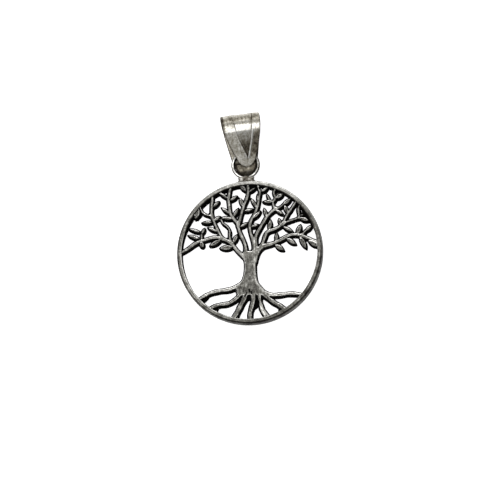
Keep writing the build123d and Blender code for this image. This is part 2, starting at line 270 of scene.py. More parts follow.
# The tree, cast and pierced
# Bars: width at the root, width at the end, how much more rubbed than the rest, then points
# (across, up) on the middle line.
bars = {
    "lowLeft": (5.6, 4.0, 0.03, [
        (-1, -13), (-9, -5.2), (-16, 1.2), (-24.5, 11.5), (-33, 17), (-48, 20.5), (-62, 17),
        (-72.5, 13.5), (-86, 4), (-100, -3)]),
    "leftTwig": (3.8, 2.8, 0.0, [
        (-24, 12), (-27.5, 22), (-27.5, 30), (-31.5, 36.5), (-36, 40), (-39, 45.5)]),
    "leftSlant": (4.2, 4.4, 0.02, [
        (-37, 18.5), (-44, 31.5), (-50, 45.5), (-52.5, 55), (-52, 66.5), (-51, 81), (-50, 87)]),
    "leftArc": (3.0, 3.0, 0.06, [
        (-53, 50.7), (-59.4, 52.3), (-62.7, 54), (-65.7, 57.4), (-69, 64.4), (-72, 69)]),
    "leftMain": (5.6, 4.2, 0.05, [
        (-3, -12), (-5, -1), (-5.6, 8), (-9.5, 19), (-14.5, 31), (-18, 42), (-24.5, 49.5),
        (-28, 63), (-29, 73), (-24, 98)]),
    "leftInner": (4.4, 4.2, 0.02, [
        (-15.5, 36), (-11.5, 53), (-7, 67), (-3, 78), (-3, 100)]),
    "centre": (5.6, 3.8, 0.02, [
        (4, -12), (5.6, 1), (5.5, 13), (2.5, 23), (0.3, 32), (1.5, 43), (7, 54), (11.7, 68),
        (14.3, 85)]),
    "rightInner": (5.4, 4.2, 0.04, [
        (7, -12), (8.6, 2), (8.3, 15), (9.6, 25), (14.5, 34), (25, 51), (36, 61)]),
    "rightCrown": (3.6, 3.4, 0.0, [
        (36, 60), (33, 71.5), (35.5, 75), (33.5, 82), (39.5, 92.5)]),
    "rightStem": (3.4, 3.0, 0.0, [
        (36.5, 60), (42, 63), (47, 67.5)]),
    "rightMiddle": (5.4, 4.4, 0.0, [
        (8, -6), (13, 3), (17.6, 11.5), (20.5, 20), (24.5, 28), (35, 32.5), (46, 40)]),
    "rightUpper": (4.0, 3.2, 0.06, [
        (46, 39.5), (50, 49), (57, 60), (66, 74)]),
    "rightTwig": (3.4, 3.0, 0.0, [
        (46.5, 40.5), (56, 44), (69, 48.5)]),
    "rightTip": (2.8, 2.6, 0.0, [
        (69, 48), (67.2, 60), (71, 69.5)]),
    "lowRight": (5.4, 4.6, 0.02, [
        (6, -12), (7.8, -2), (10.9, 2.4), (15.6, 7), (23.4, 9.9), (38, 14.8), (50, 21.5), (62, 25),
        (73, 22.5), (100, 11)]),
    "rightFork": (3.6, 3.2, 0.0, [
        (71, 23.5), (78, 31)]),
    "rootLeftHigh": (6.0, 4.0, 0.14, [
        (-8, -43.5), (-18, -48.3), (-27, -51.8), (-40, -53.8), (-54, -57.3), (-73, -69)]),
    "rootLeftMiddle": (5.4, 4.8, -0.02, [
        (-6, -52), (-18, -64.5), (-29, -71.5), (-41, -73.5), (-59, -81.5)]),
    "rootLeftLow": (6.8, 6.4, -0.02, [
        (-3, -50), (-7, -64), (-13, -76), (-18, -86), (-25, -97)]),
    "rootCentre": (7.2, 5.2, 0.0, [
        (2.5, -50), (5, -68), (1, -84), (1, -100)]),
    "rootRightLow": (5.2, 4.2, 0.03, [
        (12.5, -50), (17, -76), (21, -83), (32, -95)]),
    "rootRightFork": (3.8, 3.2, 0.06, [
        (15, -74), (16.5, -82), (21.5, -90), (23.5, -97.5)]),
    "rootRightMiddle": (6.8, 5.8, -0.04, [
        (14, -52), (28, -66), (42, -75), (55, -83.5)]),
    "rootRightHigh": (6.0, 4.4, 0.16, [
        (10, -46), (23, -57.5), (30, -59.5), (56, -57.5), (79, -61)]),
}

# Leaves: where each leaves its twig, its point, and its width
leaves = [
    ((-66, 27.5), (-84, 32.5), 4.8),
    ((-67, 18), (-85, 23.5), 5.4),
    ((-50, 42), (-66, 41), 5.0),
    ((-66, 15), (-66, 28), 4.0),
    ((-66, 25), (-61.5, 34), 4.4),
    ((-67, 15), (-64.5, 6.5), 7.2),
    ((-38.5, 18), (-55, 8.5), 6.4),
    ((-43, 28.5), (-58, 34.5), 5.0),
    ((-51, 62.5), (-41.5, 71.5), 5.0),
    ((-50, 43.5), (-40, 50.5), 5.4),
    ((-28, 74), (-44, 85), 5.0),
    ((-28, 71.5), (-16.5, 79), 5.0),
    ((-26.5, 53), (-39, 62.5), 5.0),
    ((-23, 48), (-15, 62), 5.0),
    ((-22, 46.5), (-40, 48.5), 5.4),
    ((-23, 12), (-16.5, 25), 6.2),
    ((-22, 7.5), (-41, 5.5), 7.4),
    ((-8, 62), (-13.5, 76), 6.2),
    ((-3.5, 84.5), (-15, 96), 6.2),
    ((-2, 83.5), (9, 91), 4.0),
    ((10.5, 97), (12.5, 88), 4.2),
    ((-15, 34), (-1, 42), 4.8),
    ((1, 35), (13, 39), 4.8),
    ((-9.5, 57), (6, 60.5), 4.8),
    ((3.5, 46), (15.5, 58), 5.4),
    ((10.5, 60.5), (2, 75.5), 5.4),
    ((13, 67), (10.5, 81), 4.2),
    ((15, 84), (25.5, 91), 5.0),
    ((15.5, 83), (11.5, 90), 3.8),
    ((24, 48), (20, 62), 5.4),
    ((34.5, 71), (18, 70.5), 5.6),
    ((28.5, 70.5), (23.5, 82), 4.2),
    ((35.5, 75), (46.5, 82), 6.2),
    ((35, 78), (41.5, 84), 3.2),
    ((45, 65.5), (57.5, 75.5), 5.8),
    ((35, 60), (47, 52.5), 5.0),
    ((53.5, 53), (48, 66), 6.4),
    ((27, 29.5), (29, 46), 6.2),
    ((43.5, 36.5), (40.5, 47.5), 5.4),
    ((45, 36.5), (60.5, 28.5), 5.6),
    ((36.5, 13), (37.5, 28), 5.4),
    ((68.2, 50), (66.5, 64), 4.8),
    ((68.5, 51), (75.5, 53), 3.6),
    ((68, 48.5), (82, 44), 6.2),
    ((65, 24), (70.5, 39), 6.8),
    ((76.5, 29), (86, 38), 5.0),
    ((34.5, 11), (47.5, 3), 6.8),
    ((50, 20), (64, 11.5), 6.8),
    ((69, 22.5), (78, 5.5), 7.2),
    ((80, 17), (96, 8), 7.6),
    ((-69.5, 62), (-75, 46), 8.0),
]

# Trunk: height, left side and right side at each level
trunkLevels = [
    (1.8, -6.3, 10.3),
    (-4, -7.3, 9.5),
    (-9, -7.3, 8.9),
    (-25, -7.1, 8.7),
    (-36, -9.3, 9.9),
    (-43, -13.1, 12.2),
    (-49, -18.1, 16.5),
    (-55, -18.5, 20.0),
    (-60.5, -15.5, 17.5),
]

# Cores that keep the crest level where limbs part: radius, then two ends
cores = [
    (4.4, (-4, -10), (-5.6, -3)),
    (5.0, (2, -12), (4.5, -3.6)),
    (3.9, (2.5, -8), (10.6, 4.2)),
    (7.5, (-6, -50), (-7, -53)),
    (7.5, (7, -50), (9, -53)),
]

# Sunk webs beside the rim and between the roots, painted black as shade: their corners, in order
# round
shadeWebs = [
    [(70, 70), (72, 54), (83, 41), (90, 38), (82, 56)],
    [(-1, 97), (0, 89), (11, 88), (13, 97)],
    [(-72, 66), (-66, 57), (-66, 52), (-72, 45), (-80, 56)],
    [(5, -58), (14, -58), (15, -68), (13.5, -73.5), (5.5, -79.5), (4, -70)],
    [(-6, -58), (3, -58), (3, -64), (-3, -67), (-8, -66)],
    [(-16, -61), (-8, -58), (-8, -64), (-13, -71), (-17, -68)],
    [(-60, -82), (-50, -75), (-43, -78), (-46, -85), (-55, -88)],
    [(-75, -68), (-61, -61), (-55, -60), (-58, -65), (-69, -75)],
    [(40, -77), (47, -77), (50, -82), (45, -86), (39, -82)],
]

# Grooves cut between the roots: width at the start and end, depth, then points
grooves = [
    (1.0, 0.7, 0.22, [(0.2, -52.5), (0.5, -54.5), (0.9, -56)]),
    (0.9, 0.6, 0.18, [(2.8, -55.5), (3.2, -57.0), (3.6, -58.5)]),
    (0.4, 0.8, 0.07, [(-8.0, -50), (-8.4, -53), (-8.2, -56)]),
    (0.4, 0.7, 0.06, [(-12, -49), (-12.6, -52), (-12.4, -55)]),
    (0.4, 1.2, 0.14, [(-3, -57), (-4, -59), (-5.5, -62)]),
    (0.4, 1.2, 0.14, [(9, -59), (9.5, -62), (10, -66)]),
]

tree = {
    "step": 0.0685, "margin": 0.2,  # grid spacing, and how far the grid goes on round the tree
    "trim": 0.28,  # how far the tree goes on under the rim
    "aside": 0.06, "fall": 0.032,  # it sits a little left, and falls a little to the right
    "foot": 1.15, "shoulder": 1.50, "crest": 1.65, "web": 1.02,  # heights
    "spread": 0.135,  # how far outlines stand out from the lines of the tables
    "fork": 0.34, "leafFork": 0.07,  # fillets between bars, and between leaves and bars
    "leafTrim": 0.4,  # taken off the leaves' widths
    "swell": 0.08, "swellTurn": 1.25, "runs": 22, "grooveRuns": 10, "sideRuns": 60,
    "lightUp": 0.8, "lightLeft": 0.6,  # the light's direction: bevels that face it are rubbed bright and painted brighter as a highlight, and are wider
    "ledge": 0.165, "ledgeLean": 0.07, "leanFade": (0.20, 0.42), "shoulderRise": (-0.03, 0.06),
    "bevelNarrow": 0.08, "bevelWide": 0.25, "bevelTurn": (0.2, 0.75), "bevelRound": 0.4,
    "leafBlend": (-0.10, 0.10), "hollow": 0.12, "hollowRise": (0.20, 0.28),
    "grooveSide": (-0.10, 0.06),
    "rimWeb": 0.12, "rimWebRise": (1.5, 6),  # a narrow web along the rim, round the crown only, painted black as shade
    "webFrom": 0.01, "webShadeFrom": -0.02,  # where past the outline a web's height and its painted black shade start
    "backReach": 0.8,  # how far a border point may move, in cells
    "slopeLeast": 0.2,  # the least squared slope that it is moved by
    # tones by place: an amount, then the depths, facings or chart levels that it belongs to
    "face": 0.475, "edge": 1.0, "leaf": 0.55, "leafHollow": 0.40, "back": 0.42, "backEdge": 0.05,
    "soften": 6, "ledgeTop": (0.0, 0.05),
    # the trunk's lighter band and darker middle are painted light and shade across the trunk
    "trunkLevel": (2, 9), "trunkBand": 0.12, "bandAt": (-0.22, 0.15), "bandRightOf": 0.2,
    "trunkMiddle": 0.05, "middleDepth": (0.40, 0.75),
    "trunkFoot": 0.04, "footUp": (42, 52), "footDown": (60, 68), "footDepth": (0.2, 0.7),
    "inside": 0.05, "insideUp": (0.14, 0.24), "insideDown": (0.45, 0.8),
    "farLine": 0.13, "farLineAt": (0.10, 0.05), "farTurn": (0.2, 0.6),
    "edgeUp": (0.0, 0.04), "edgeDown": (0.15, 0.28), "edgeTurn": (0.25, 0.70),
    "leafTurn": (0.30, 0.75),
    "groove": 0.8, "grooveDepth": (0.03, 0.20),
    "shade": 0.9, "shadeMost": 0.3, "shadeSoften": 8,
}


# A place on the tree's chart in millimetres.
def onDisc(places):
    return [(across * chart, up * chart) for across, up in places]


# Distance to a bar: to each short run of its middle line, less its half width there; the least of
# all. The half width swells and shrinks a little on its way.
def barDistance(x, y, places, startWidth, endWidth, count):
    places = onDisc(places)
    line = smoothLine(places, count)
    half = np.linspace(startWidth * chart, endWidth * chart, count) / 2
    half *= 1 + tree["swell"] * np.sin(tree["swellTurn"] * np.arange(count) + places[0][0])
    least = np.full(x.shape, far)
    for start, end, halfStart, halfEnd in zip(line[:-1], line[1:], half[:-1], half[1:]):
        run = end - start
        share = np.clip(((x - start[0]) * run[0] + (y - start[1]) * run[1]) / (run @ run), 0, 1)
        away = np.hypot(x - start[0] - share * run[0], y - start[1] - share * run[1])
        least = np.minimum(least, away - halfStart - (halfEnd - halfStart) * share)
    return least


# Distance to a leaf: two equal arcs from base to tip, so a point's distance is to the far arc's
# circle, or to the nearer tip where it lies past the arc's end.
def leafDistance(x, y, base, tip, width):
    start, end = np.array(onDisc((base, tip)))
    width = (width - tree["leafTrim"]) * chart
    half = np.linalg.norm(end - start) / 2
    along = (end - start) / (2 * half)
    middle = (start + end) / 2
    lengthwise = np.abs((x - middle[0]) * along[0] + (y - middle[1]) * along[1])
    across = np.abs((y - middle[1]) * along[0] - (x - middle[0]) * along[1])
    radius = (half * half + width * width / 4) / width
    inset = radius - width / 2
    toTip = np.hypot(across, lengthwise - half)
    toArc = np.hypot(across + inset, lengthwise) - radius
    return np.where((lengthwise - half) * inset > across * half, toTip, toArc)


# Distance to the trunk: how far outside the nearer smooth side, or above its top or below its foot.
def trunkDistance(x, y):
    sides = []
    for column in (1, 2):
        places = onDisc([(levels[column], levels[0]) for levels in trunkLevels])
        sides.append(smoothLine(places, tree["sideRuns"])[::-1])
    left, right = sides
    leftSide = np.interp(y, left[:, 1], left[:, 0])
    rightSide = np.interp(y, right[:, 1], right[:, 0])
    across = np.maximum(leftSide - x, x - rightSide)
    return np.maximum(across, np.maximum(y - left[-1, 1], left[0, 1] - y))


# Distance to a polygon of corners in order: the greatest of the distances past its edges.
def cornersDistance(x, y, corners):
    loop = np.array(corners, float) * chart
    if np.sum(loop[:, 0] * np.roll(loop[:, 1], -1) - loop[:, 1] * np.roll(loop[:, 0], -1)) < 0:
        loop = loop[::-1]
    furthest = np.full(x.shape, -far)
    for start, end in zip(loop, np.roll(loop, -1, axis=0)):
        run = (end - start) / np.linalg.norm(end - start)
        furthest = np.maximum(furthest, (x - start[0]) * run[1] - (y - start[1]) * run[0])
    return furthest


# A field read between grid points: the four nearest values, weighed by nearness.
def between(field, column, row):
    left = np.clip(np.floor(column).astype(int), 0, field.shape[1] - 2)
    low = np.clip(np.floor(row).astype(int), 0, field.shape[0] - 2)
    right = column - left
    up = row - low
    bottom = field[low, left] * (1 - right) + field[low, left + 1] * right
    top = field[low + 1, left] * (1 - right) + field[low + 1, left + 1] * right
    return bottom * (1 - up) + top * up


# A field softened by repeated averages of each point with its neighbours.
def softened(field, times):
    soft = field.copy()
    for turn in range(times):
        for axis in (0, 1):
            soft = (np.roll(soft, 1, axis) + 2 * soft + np.roll(soft, -1, axis)) / 4
    return soft


# Grid cells whose middle is inside, where the field is below 0. Cells are added where two would
# meet only at a corner.
def cellsInside(field):
    kept = (field[:-1, :-1] + field[:-1, 1:] + field[1:, :-1] + field[1:, 1:]) / 4 < 0
    for turn in range(3):
        rising = kept[:-1, :-1] & kept[1:, 1:] & ~kept[:-1, 1:] & ~kept[1:, :-1]
        falling = kept[:-1, 1:] & kept[1:, :-1] & ~kept[:-1, :-1] & ~kept[1:, 1:]
        kept[:-1, 1:] |= rising
        kept[:-1, :-1] |= falling
    return kept


# Border points drawn onto the outline, where the field is 0: four times each moves against the
# slope by the field over the slope's square, and it stays near its own grid point.
def drawnOn(field, border):
    step, reach = tree["step"], tree["backReach"]
    slopeY, slopeX = np.gradient(field, step)
    row, column = np.nonzero(border)
    toColumn = column.astype(float)
    toRow = row.astype(float)
    for turn in range(4):
        off = between(field, toColumn, toRow)
        pullX = between(slopeX, toColumn, toRow)
        pullY = between(slopeY, toColumn, toRow)
        steep = np.maximum(pullX**2 + pullY**2, tree["slopeLeast"]) * step
        toColumn = np.clip(toColumn - off * pullX / steep, column - reach, column + reach)
        toRow = np.clip(toRow - off * pullY / steep, row - reach, row + reach)
    return toColumn, toRow


# The casting's mesh: the cells inside make its top and, turned over, its flat back. Their outer
# points are drawn onto the outline, and walls go down where a cell has no neighbour.
def castingMesh(line, height, tone, field):
    step = tree["step"]
    kept = cellsInside(field)
    padded = np.pad(kept, 1)
    around = padded[:-1, :-1].astype(int) + padded[:-1, 1:] + padded[1:, :-1] + padded[1:, 1:]
    border = (around > 0) & (around < 4)
    toColumn, toRow = drawnOn(field, border)
    px, py = np.meshgrid(line, line)
    pz = height.copy()
    px[border] = line[0] + toColumn * step
    py[border] = line[0] + toRow * step
    pz[border] = between(height, toColumn, toRow)
    tone[border] = 0.0

    used = around > 0
    number = np.cumsum(used.ravel()).reshape(used.shape) - 1
    total = int(used.sum())
    top = np.stack((px[used], py[used], pz[used]), 1)
    points = np.vstack((top, top * (1, 1, 0)))
    upper = np.stack((number[:-1, :-1], number[:-1, 1:], number[1:, 1:], number[1:, :-1]), -1)[kept]
    lower = upper[:, ::-1] + total
    below, above = padded[:-1, 1:-1], padded[1:, 1:-1]
    leftOf, rightOf = padded[1:-1, :-1], padded[1:-1, 1:]
    walls = []
    for first, second, wanted in (
        (number[:, :-1], number[:, 1:], above & ~below),
        (number[:, 1:], number[:, :-1], below & ~above),
        (number[1:, :], number[:-1, :], rightOf & ~leftOf),
        (number[:-1, :], number[1:, :], leftOf & ~rightOf),
    ):
        start, end = first[wanted], second[wanted]
        walls.append(np.stack((end, start, start + total, end + total), 1))
    backTone = np.where(border[used], tree["backEdge"], tree["back"])
    tones = np.concatenate((tone[used], backTone))
    return makePiece("tree_casting", points, [upper, lower, *walls], tones, points, 50)


# The tree: over a square grid the distance to its outline is merged from trunk, bars and leaves.
# Its height rises from a narrow black ledge over a bevel to a flat crest with that distance;
# leaves are hollowed inside a raised edge. Bevels that face up and left, towards the light, are
# rubbed bright and painted brighter still as a highlight.
def makeTree():
    rimInner = discRadius - rim["width"]
    reach = rimInner + tree["trim"]
    count = int(2 * (reach + tree["margin"]) / tree["step"]) + 1
    line = (np.arange(count) - (count - 1) / 2) * tree["step"]
    flatX, y = np.meshgrid(line, line)
    x = flatX + tree["aside"]
    upright = y + tree["fall"] * x
    fromCentre = np.hypot(flatX, y)

    # below 0 inside: the trunk, all the wood, the leaves, the whole outline, and the sunk webs that
    # are painted black as shade
    trunk = trunkDistance(x, upright)
    wood = trunk
    rubAndLight = np.full(x.shape, tree["face"])
    for startWidth, endWidth, rubbed, places in bars.values():
        bar = barDistance(x, upright, places, startWidth, endWidth, tree["runs"])
        rubAndLight = np.where(bar < wood, tree["face"] + rubbed, rubAndLight)
        wood = merged(wood, bar, tree["fork"])
    for radius, start, end in cores:
        wood = np.minimum(wood, barDistance(x, upright, (start, end), 2 * radius, 2 * radius, 2))
    leafy = np.full(x.shape, far)
    for base, tip, width in leaves:
        leafy = np.minimum(leafy, leafDistance(x, upright, base, tip, width))
    outline = merged(wood, leafy, tree["leafFork"]) - tree["spread"]
    shadeWeb = rimInner - tree["rimWeb"] * eased(y, *tree["rimWebRise"]) - fromCentre
    for corners in shadeWebs:
        shadeWeb = np.minimum(shadeWeb, cornersDistance(x, upright, corners))

    # heights, by the depth inside the ledge
    slopeY, slopeX = np.gradient(outline, tree["step"])
    facing = 0.5 + 0.5 * (tree["lightUp"] * slopeY - tree["lightLeft"] * slopeX)  # 1: faces the light most, where rubbed bevels are painted brightest as a highlight
    depth = np.clip(-outline, 0, far) - tree["ledge"]
    depth += tree["ledgeLean"] * slopeX * (1 - eased(-outline, *tree["leanFade"]))
    wider = tree["bevelWide"] - tree["bevelNarrow"]
    bevel = tree["bevelNarrow"] + wider * eased(facing, *tree["bevelTurn"])
    roll = np.clip(depth / bevel, 0, 1)
    rolled = roll * (1 + tree["bevelRound"] - tree["bevelRound"] * roll)
    height = tree["foot"] + (tree["shoulder"] - tree["foot"]) * eased(depth, *tree["shoulderRise"])
    height += (tree["crest"] - tree["shoulder"]) * rolled
    leafOnly = eased(wood, *tree["leafBlend"])
    hollow = eased(-leafy, *tree["hollowRise"]) * leafOnly
    cut = np.zeros(x.shape)
    for startWidth, endWidth, deep, places in grooves:
        groove = barDistance(x, upright, places, startWidth, endWidth, tree["grooveRuns"])
        cut = np.maximum(cut, deep * eased(-groove, *tree["grooveSide"]))
    height = np.maximum(height - tree["hollow"] * hollow - cut, tree["foot"])
    height = np.where((outline > tree["webFrom"]) & (shadeWeb < 0), tree["web"], height)

    # tones of the wood: on the trunk a lighter band inside its right side and a darker middle,
    # painted light and shade across the trunk, and a dark foot; on all of it a slightly darker
    # inside, and a thin light line on the far edge
    level = -upright / chart
    onTrunk = eased(level, *tree["trunkLevel"])
    rubAndLight = softened(rubAndLight, tree["soften"])
    # the trunk's lighter band and darker middle are painted light and shade
    rubAndLight += tree["trunkBand"] * bump(trunk, *tree["bandAt"]) * onTrunk * (x > tree["bandRightOf"])
    rubAndLight -= tree["trunkMiddle"] * eased(-trunk, *tree["middleDepth"]) * onTrunk
    onFoot = inBand(level, tree["footUp"], tree["footDown"])
    rubAndLight -= tree["trunkFoot"] * onFoot * eased(-outline, *tree["footDepth"])
    rubAndLight -= tree["inside"] * inBand(depth, tree["insideUp"], tree["insideDown"])
    rubAndLight += tree["farLine"] * bump(depth, *tree["farLineAt"]) * (1 - eased(facing, *tree["farTurn"]))
    start = eased(depth, *tree["ledgeTop"])
    # edge: bevels that face the light, rubbed and painted brighter as a highlight
    edge = inBand(depth, tree["edgeUp"], tree["edgeDown"]) * eased(facing, *tree["edgeTurn"])
    tone = rubAndLight * start + (tree["edge"] - rubAndLight) * edge

    # tones of the leaves, painted bright as a highlight on the side that faces the light, the
    # grooves, painted shade in hollows that lie lower than what is round them, and the webs,
    # painted black as shade
    # a leaf's side that faces the light is painted bright: a painted highlight
    leafTone = tree["leaf"] + (tree["edge"] - tree["leaf"]) * eased(facing, *tree["leafTurn"])
    leafTone = start * (leafTone * (1 - hollow) + tree["leafHollow"] * hollow)
    tone = tone * (1 - leafOnly) + leafTone * leafOnly
    tone *= 1 - tree["groove"] * eased(cut, *tree["grooveDepth"])
    # painted shade in hollows that lie lower than what is round them
    lower = softened(np.where(outline < 0, height, tree["foot"]), tree["shadeSoften"]) - height
    tone -= tree["shade"] * np.clip(lower, 0, tree["shadeMost"]) * (outline < 0)
    # the webs are painted black as shade
    tone = np.where((outline > tree["webShadeFrom"]) & (shadeWeb < 0), 0.0, np.maximum(tone, 0))

    whole = np.maximum(np.minimum(outline, shadeWeb), fromCentre - reach)
    return castingMesh(line, height, tone, whole)


# Rim: a plain band with a rounded outer edge and a raised inner lip
rim = {
    "width": 0.85, "outerRound": 0.42, "lipWidth": 0.17, "around": 540,
    # the inner side's waves: times round, shift, share
    "wobble": 0.015, "waves": ((3, 0.7, 1.0), (8, 2.1, 0.6), (17, 0, 0.4)),
    "wobbleInside": 0.3, "dip": 0.012, "dipAbove": 1.6,
    # how far it is rubbed every 30 degrees round from the right; the outer edge's and the lip's
    # rubs also carry painted highlights where those parts face the light
    "outerRubAndLight": (0.36, 0.86, 0.92, 0.90, 0.64, 0.45, 0.28, 0.40, 0.30, 0.14, 0.20, 0.26),
    "bandRub": (0.44, 0.40, 0.60, 0.64, 0.55, 0.50, 0.49, 0.50, 0.46, 0.36, 0.40, 0.42),
    "lipRubAndLight": (0.62, 0.22, 0.12, 0.10, 0.08, 0.20, 0.98, 0.98, 0.92, 0.76, 0.60, 0.60),
    # tones of its other parts
    "wall": 0.18, "wallOuter": 0.2, "inside": 0.02, "back": 0.42,
    "outerFrom": (0.25, 0.95), "bandFrom": (0.90, 1.0),  # by the rise of the outer round
}
rimLook = {**silverLook, "cloud": 1000, "streak": (420, 4200, 4200), "streakShare": 0.50}


# The rim: a closed profile carried round a circle: the outer wall, a rounded outer edge, a
# slightly hollow band, a raised inner lip, the inner wall and the back. Each profile point's
# tone is its own plus its shares of the three rubs at that turn, the outer and lip rubs with
# painted highlights in them.
def makeRim():
    outer, high = discRadius, discThick
    inner = outer - rim["width"]
    corner = rim["outerRound"]
    lip = inner + rim["lipWidth"]
    profile = [  # radius, height, own tone, then shares of the outer, band and lip rubs
        (outer, 0.05, 0.30, 0, 0, 0),
        (outer, 0.5, 0.24, 0, 0, 0),
        (outer, 1.0, 0.21, 0.1, 0, 0),
        (outer, high - corner, rim["wall"], rim["wallOuter"], 0, 0),
    ]
    for turn in np.linspace(0, quarter, 9)[1:]:
        rise, lean = math.sin(turn), math.cos(turn)
        toOuter, toBand = eased(rise, *rim["outerFrom"]), eased(rise, *rim["bandFrom"])
        onWall = 1 - toOuter
        place = (outer - corner + corner * lean, high - corner + corner * rise)
        outerShare = rim["wallOuter"] * onWall + toOuter - toBand
        profile.append((*place, rim["wall"] * onWall, outerShare, toBand, 0))
    profile += [
        (lip + 0.14, high - 0.02, 0, 0, 1, 0),
        (lip + 0.03, high - 0.05, -0.14, 0, 0.8, 0.2),
        (lip - 0.03, high - 0.03, 0, 0, 0.2, 0.8),
        (inner + 0.06, high - 0.07, 0, 0, 0, 1),
        (inner + 0.02, high - 0.15, 0, 0, 0, 0.25),
        (inner, high - 0.24, rim["inside"], 0, 0, 0),
        (inner, 1.0, rim["inside"], 0, 0, 0),
        (inner, 0.5, rim["inside"], 0, 0, 0),
        (inner, 0.05, rim["inside"], 0, 0, 0),
        (inner + 0.05, 0.0, rim["back"], 0, 0, 0),
        (outer - 0.05, 0.0, rim["back"], 0, 0, 0),
    ]
    profile = np.array(profile)
    angle = roundAbout(rim["around"])[:, None]
    waves = sum(share * np.sin(times * angle + shift) for times, shift, share in rim["waves"])
    radius = profile[:, 0] + rim["wobble"] * waves * (profile[:, 0] < outer - rim["wobbleInside"])
    dents = 1 + np.sin(5 * angle + 1) * np.sin(11 * angle)
    dip = rim["dip"] * dents * (profile[:, 1] > rim["dipAbove"])
    points = stacked(radius * np.cos(angle), radius * np.sin(angle), profile[:, 1] - dip)
    tones = profile[:, 2]
    # the outer and lip rubs hold painted highlights where those parts face the light
    for column, part in zip((3, 4, 5), ("outerRubAndLight", "bandRub", "lipRubAndLight")):
        rubs = np.interp(angle, roundAbout(12), rim[part], period=2 * math.pi)
        tones = tones + profile[:, column] * rubs
    steps = np.hypot(*np.diff(profile[:, :2], axis=0, prepend=profile[:1, :2]).T)
    along = stacked(outer * angle, np.cumsum(steps), 0.0)
    faces = gridFaces(rim["around"], len(profile), closedRows=True, closedColumns=True)
    return makePiece("rim_band", points, [faces], np.clip(tones, 0, 1), along, 60)


# Ring and solder at the top of the rim: sizes, then tones
ring = {
    "wire": 0.60, "diameter": 4.95, "turned": 2.8, "height": 1.0, "around": 120, "section": 24,
    # crest: a painted highlight along the wire's top; inner: painted shade on its inner side
    "side": 0.20, "crest": 0.72, "crestReach": 0.78, "inner": 0.12, "innerFrom": -0.5,
    "waver": 0.10, "right": 0.15, "rightFrom": (0.2, 1), "soldered": 0.62, "solderedReach": 0.34,
}
solder = {
    "length": 0.42, "footWidth": 3.2, "neckWidth": 2.7, "thick": 0.62, "slices": 30, "section": 44,
    "intoRim": 0.6, "intoWire": 0.45,  # shares of the rim's width and of the wire
    "waist": 0.08, "waver": 0.06, "dish": 0.10, "squareness": 0.7,
    "lumps": 0.14, "lumpTurn": 4.1,  # radians to a millimetre, as the patches' turn is
    # crest: the top painted lighter and the underside darker, as light and shade from above
    "tone": 0.20, "crest": 0.16, "patches": 0.20, "patchTurn": 5.2,
    "sides": 0.20, "sidesFrom": (0.35, 0.95),
}
ringLook = {
    **silverLook, "grainShare": 0.6, "dim": (0.030, 0.024, 0.018), "grey": (0.17, 0.155, 0.13),
}
ringRadius = (ring["diameter"] - ring["wire"]) / 2
ringDistance = discRadius + solder["length"] + ring["diameter"] / 2


# The ring: a round wire carried round a circle, so a point is half the wire's thickness from that
# circle. Its upper line is painted bright as a highlight, its inner side is painted dark as shade,
# and it is dull in the solder.
def makeRing():
    wire = ring["wire"] / 2
    angle = roundAbout(ring["around"])[:, None]
    turn = roundAbout(ring["section"])
    radius = ringRadius + wire * np.cos(turn)
    height = ring["height"] + wire * np.sin(turn)
    points = stacked(radius * np.cos(angle), radius * np.sin(angle) + ringDistance, height)
    points = turnedBy(points, ring["turned"])
    # a painted highlight along the wire's top, and painted shade on its inner side
    crest = ring["crest"] * bump(turn, quarter, ring["crestReach"])
    tones = ring["side"] + crest - ring["inner"] * (np.cos(turn) < ring["innerFrom"])
    right = ring["right"] * eased(np.cos(angle), *ring["rightFrom"])
    tones = tones + ring["waver"] * np.sin(5 * angle) - right
    soldered = ring["soldered"] * bump(angle, 3 * quarter, ring["solderedReach"])
    tones = np.clip(tones, 0, 1) * (1 - soldered)
    faces = gridFaces(ring["around"], ring["section"], closedRows=True, closedColumns=True)
    along = stacked(ringRadius * angle, wire * turn, 0.0)
    return makePiece("small_ring", points, [faces], tones, along, 180)


# The solder: oval slices from inside the rim to inside the ring's wire, waisted between, and
# lighter at its two sides.
def makeSolder():
    along = np.linspace(0, 1, solder["slices"])[:, None]
    turn = roundAbout(solder["section"])
    low = discRadius - rim["width"] * solder["intoRim"]
    high = ringDistance - ringRadius + ring["wire"] * solder["intoWire"]
    closing = np.sqrt(np.clip(1 - (2 * along - 1) ** 8, 0, 1))
    half = (solder["footWidth"] + (solder["neckWidth"] - solder["footWidth"]) * along) / 2
    half = half - solder["waist"] * np.sin(math.pi * along)
    half = half + solder["waver"] * np.sin(5 * math.pi * along + 2)
    flat = np.sign(np.cos(turn)) * np.abs(np.cos(turn)) ** solder["squareness"]
    x = half * flat * closing
    y = low + (high - low) * along + solder["dish"] * np.cos(2 * flat) * along
    lumps = solder["lumps"] * np.sin(solder["lumpTurn"] * x + 1)
    z = solder["thick"] / 2 * np.sin(turn) * closing * (1 + lumps)
    points = turnedBy(stacked(x, y, ring["height"] + z), ring["turned"])
    # the top painted lighter and the underside darker: painted light and shade from above
    tones = solder["tone"] + solder["crest"] * np.sin(turn)
    patches = solder["patches"] * np.sin(solder["patchTurn"] * x - 0.6)
    tones = tones + patches * np.sin(3 + 9 * along)
    tones = np.clip(tones + solder["sides"] * eased(np.abs(x), *solder["sidesFrom"]), 0, 1)
    faces = tubeFaces(solder["slices"], solder["section"])
    return makePiece("ring_solder", points, faces, tones, points, 180)


